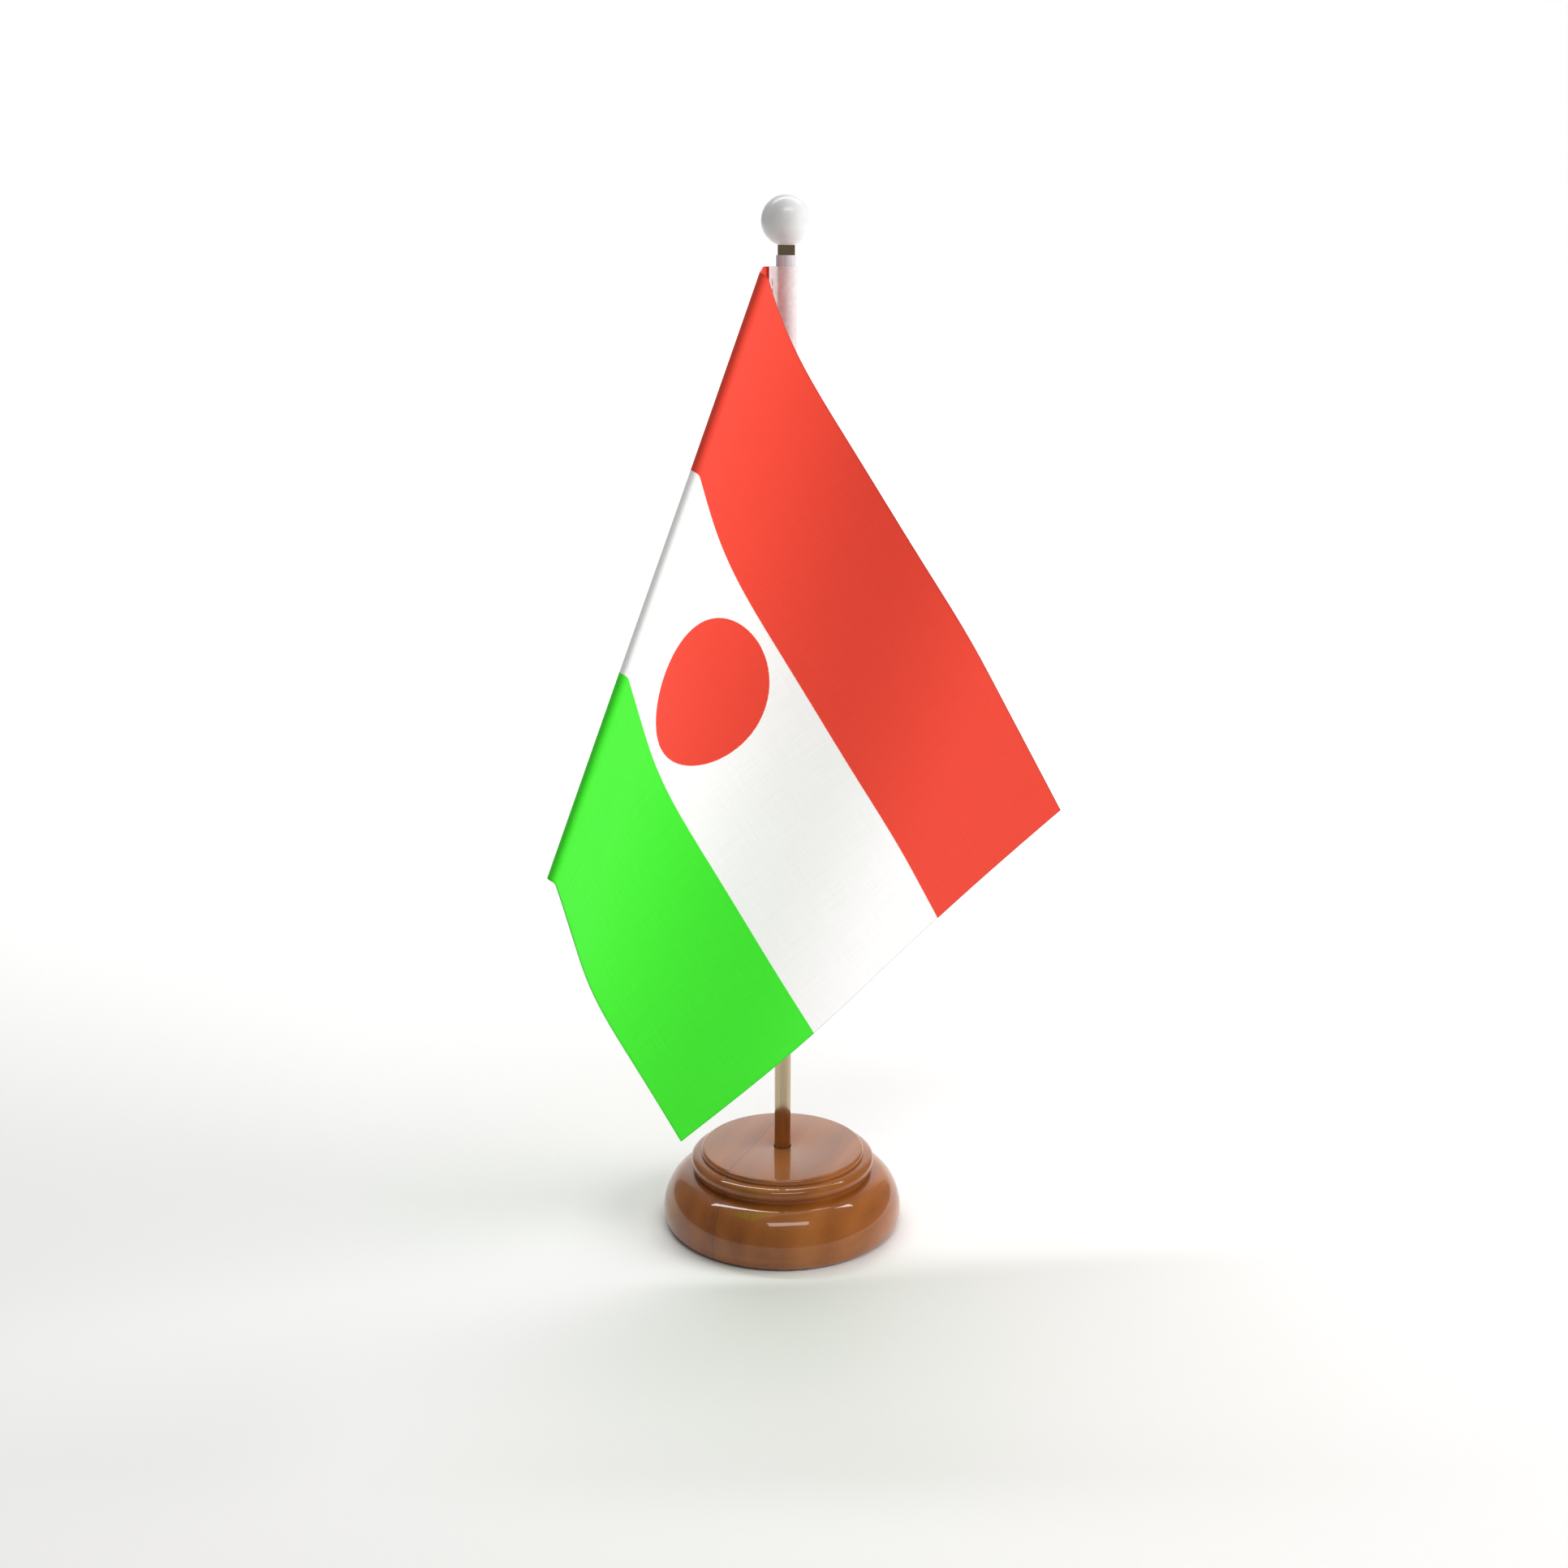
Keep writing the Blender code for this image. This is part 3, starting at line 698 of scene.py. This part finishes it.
def soft_edge(value, place, blur):
    """0 below a place and 1 above it, with the little bleed that ink has in a weave."""
    node = add("ShaderNodeMapRange", interpolation_type="SMOOTHSTEP")
    join(value, node.inputs["Value"])
    node.inputs["From Min"].default_value = place - blur
    node.inputs["From Max"].default_value = place + blur
    return node.outputs["Result"]


fly_metres = maths("MULTIPLY", apart.outputs["X"], FLAG_FLY)
up_metres = maths("MULTIPLY", apart.outputs["Y"], FLAG_HOIST)
flat_place = add("ShaderNodeCombineXYZ")
join(fly_metres, flat_place.inputs["X"])
join(up_metres, flat_place.inputs["Y"])
bleed = add("ShaderNodeTexNoise", in_Scale=1500.0, in_Detail=2.0)
join(flat_place.outputs["Vector"], bleed.inputs["Vector"])
wander = maths("MULTIPLY_ADD", bleed.outputs["Fac"], 0.00025, -0.000125)
up_printed = maths("ADD", up_metres, wander)
ink_white = (0.93, 0.93, 0.93, 1)
ink_red = (0.80, 0.060, 0.035, 1)
ink_green = (0.055, 0.80, 0.030, 1)
green_band = maths("SUBTRACT", 1.0, soft_edge(up_printed, FLAG_HOIST / 3, INK_BLEED))
red_band = soft_edge(up_printed, FLAG_HOIST * 2 / 3, INK_BLEED)
from_middle = add("ShaderNodeVectorMath", operation="DISTANCE")
join(flat_place.outputs["Vector"], from_middle.inputs[0])
from_middle.inputs[1].default_value = (FLAG_FLY / 2, FLAG_HOIST / 2, 0)
disc_reach = maths("ADD", from_middle.outputs["Value"], wander)
disc = maths("SUBTRACT", 1.0, soft_edge(disc_reach, DISC_RADIUS, INK_BLEED))
printed = printed_over(ink_white, ink_green, green_band)
printed = printed_over(printed, ink_red, red_band)
printed = printed_over(printed, ink_red, disc)
# Plain weave: threads run both ways, about three to the millimetre, and each crossing shades itself a little
across = maths("SINE", maths("MULTIPLY", fly_metres, 2 * pi * THREADS_PER_METRE))
upright = maths("SINE", maths("MULTIPLY", up_metres, 2 * pi * THREADS_PER_METRE))
weave = maths("MULTIPLY", across, upright)
thread_tone = add("ShaderNodeTexNoise", in_Scale=1.0, in_Detail=2.0)
long_threads = add("ShaderNodeMapping", in_Scale=(60, 2600, 1))
join(flat_place.outputs["Vector"], long_threads.inputs["Vector"])
join(long_threads.outputs["Vector"], thread_tone.inputs["Vector"])
cross_tone = add("ShaderNodeTexNoise", in_Scale=1.0, in_Detail=2.0)
cross_threads = add("ShaderNodeMapping", in_Scale=(2600, 60, 1))
join(flat_place.outputs["Vector"], cross_threads.inputs["Vector"])
join(cross_threads.outputs["Vector"], cross_tone.inputs["Vector"])
unevenness = maths("ADD", thread_tone.outputs["Fac"], cross_tone.outputs["Fac"])
shade = maths("MULTIPLY_ADD", unevenness, 0.10, 0.90)
shade = maths("MULTIPLY_ADD", weave, 0.02, shade)
# Hot-cut edges: the outer half millimetre is fused, darker and shiny
to_fly = maths("SUBTRACT", FLAG_FLY, fly_metres)
to_top = maths("SUBTRACT", FLAG_HOIST, up_metres)
to_edge = maths("MINIMUM", maths("MINIMUM", to_fly, to_top), up_metres)
fused = maths("SUBTRACT", 1.0, soft_edge(to_edge, FUSED_WIDTH, FUSED_BLUR))
shade = maths("MULTIPLY_ADD", fused, -0.18, shade)
toned = add("ShaderNodeVectorMath", operation="SCALE")
join(printed, toned.inputs[0])
join(shade, toned.inputs["Scale"])
join(toned.outputs["Vector"], cloth_shader.inputs["Base Color"])
join(maths("MULTIPLY_ADD", fused, -0.25, 0.78), cloth_shader.inputs["Roughness"])
cloth_height = maths("MULTIPLY_ADD", unevenness, 0.8, maths("MULTIPLY", weave, 0.5))
cloth_relief = add("ShaderNodeBump", in_Strength=0.25, in_Distance=0.00008)
join(cloth_height, cloth_relief.inputs["Height"])
join(cloth_relief.outputs["Normal"], cloth_shader.inputs["Normal"])
flag.data.materials.append(cloth)
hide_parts("flag_cloth")
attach(flag, "flag")


# Stitching: the lockstitch row that closes the header on the flag, in white polyester thread. The needle
# thread shows on one tab and the bobbin thread on the other, a stitch every 2.5 millimetres.
STITCH = 0.0025
THREAD_RADIUS = 0.00013
THREAD_ALONG_TAB = 0.6
THREAD_NARROWS = 0.45
THREAD_SINKS = 0.00014
half_stitch = STITCH * 0.43
sewn_out = HEADER_RADIUS + TAB_LENGTH * THREAD_ALONG_TAB
thread_material, thread_shader = new_material("sewing_thread", Roughness=0.6, Sheen_Weight=0.3)
add, join = node_maker(thread_material)
where = add("ShaderNodeTexCoord")
twist_map = add("ShaderNodeMapping", in_Rotation=(radians(35), 0, 0))
join(where.outputs["Object"], twist_map.inputs["Vector"])
twist = add("ShaderNodeTexWave", wave_type="BANDS", bands_direction="Z")
twist.inputs["Scale"].default_value = 2600.0
join(twist_map.outputs["Vector"], twist.inputs["Vector"])
# Painted shade: the white thread is coloured darker in the grooves of its twist and lighter on the plies
twist_groove_shade = add("ShaderNodeValToRGB")
twist_groove_shade.color_ramp.elements[0].color = (0.62, 0.60, 0.60, 1)
twist_groove_shade.color_ramp.elements[1].color = (0.88, 0.87, 0.86, 1)
join(twist.outputs["Fac"], twist_groove_shade.inputs["Fac"])
join(twist_groove_shade.outputs["Color"], thread_shader.inputs["Base Color"])
twist_relief = add("ShaderNodeBump", in_Strength=0.5, in_Distance=0.00003)
join(twist.outputs["Fac"], twist_relief.inputs["Height"])
join(twist_relief.outputs["Normal"], thread_shader.inputs["Normal"])

for node, side in (("needle_thread", 1), ("bobbin_thread", -1)):
    low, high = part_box(node)
    stitches = int((high.z - low.z) / STITCH)
    aside = SLIT_HALF + HEADER_WALL + 0.00010
    place = (
        lead_x * sewn_out - side * lead_y * aside,
        lead_y * sewn_out + side * lead_x * aside,
        low.z + STITCH / 2,
    )
    deselect_all()
    bpy.ops.mesh.primitive_cylinder_add(
        vertices=8, radius=THREAD_RADIUS, depth=2 * half_stitch, end_fill_type="NGON", location=(0, 0, 0)
    )
    row_of_stitches = bpy.context.object
    row_of_stitches.name = node + "_stitches"
    bpy.ops.object.mode_set(mode="EDIT")
    for height in (-0.9, -0.55, 0.0, 0.55, 0.9):
        bpy.ops.mesh.select_all(action="SELECT")
        bpy.ops.mesh.bisect(plane_co=(0, 0, height * half_stitch), plane_no=(0, 0, 1))
    bpy.ops.object.mode_set(mode="OBJECT")
    # Each end of a stitch grows thinner and dips into its needle hole
    for vertex in row_of_stitches.data.vertices:
        share = abs(vertex.co.z) / half_stitch
        slim = 1 - THREAD_NARROWS * max(0, share - 0.6) / 0.4
        sink = THREAD_SINKS * max(0, share - 0.5) ** 2 / 0.25
        vertex.co.x = vertex.co.x * slim + side * lead_y * sink
        vertex.co.y = vertex.co.y * slim - side * lead_x * sink
        vertex.co += Vector(place)
    repeat = row_of_stitches.modifiers.new("along_the_tab", "ARRAY")
    repeat.use_relative_offset = False
    repeat.use_constant_offset = True
    repeat.constant_offset_displace = (0, 0, STITCH)
    repeat.count = stitches
    bpy.ops.object.modifier_apply(modifier="along_the_tab")
    bpy.ops.object.shade_smooth_by_angle(angle=radians(60))
    row_of_stitches.data.materials.append(thread_material)
    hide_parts(node)
    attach(row_of_stitches, "flag")
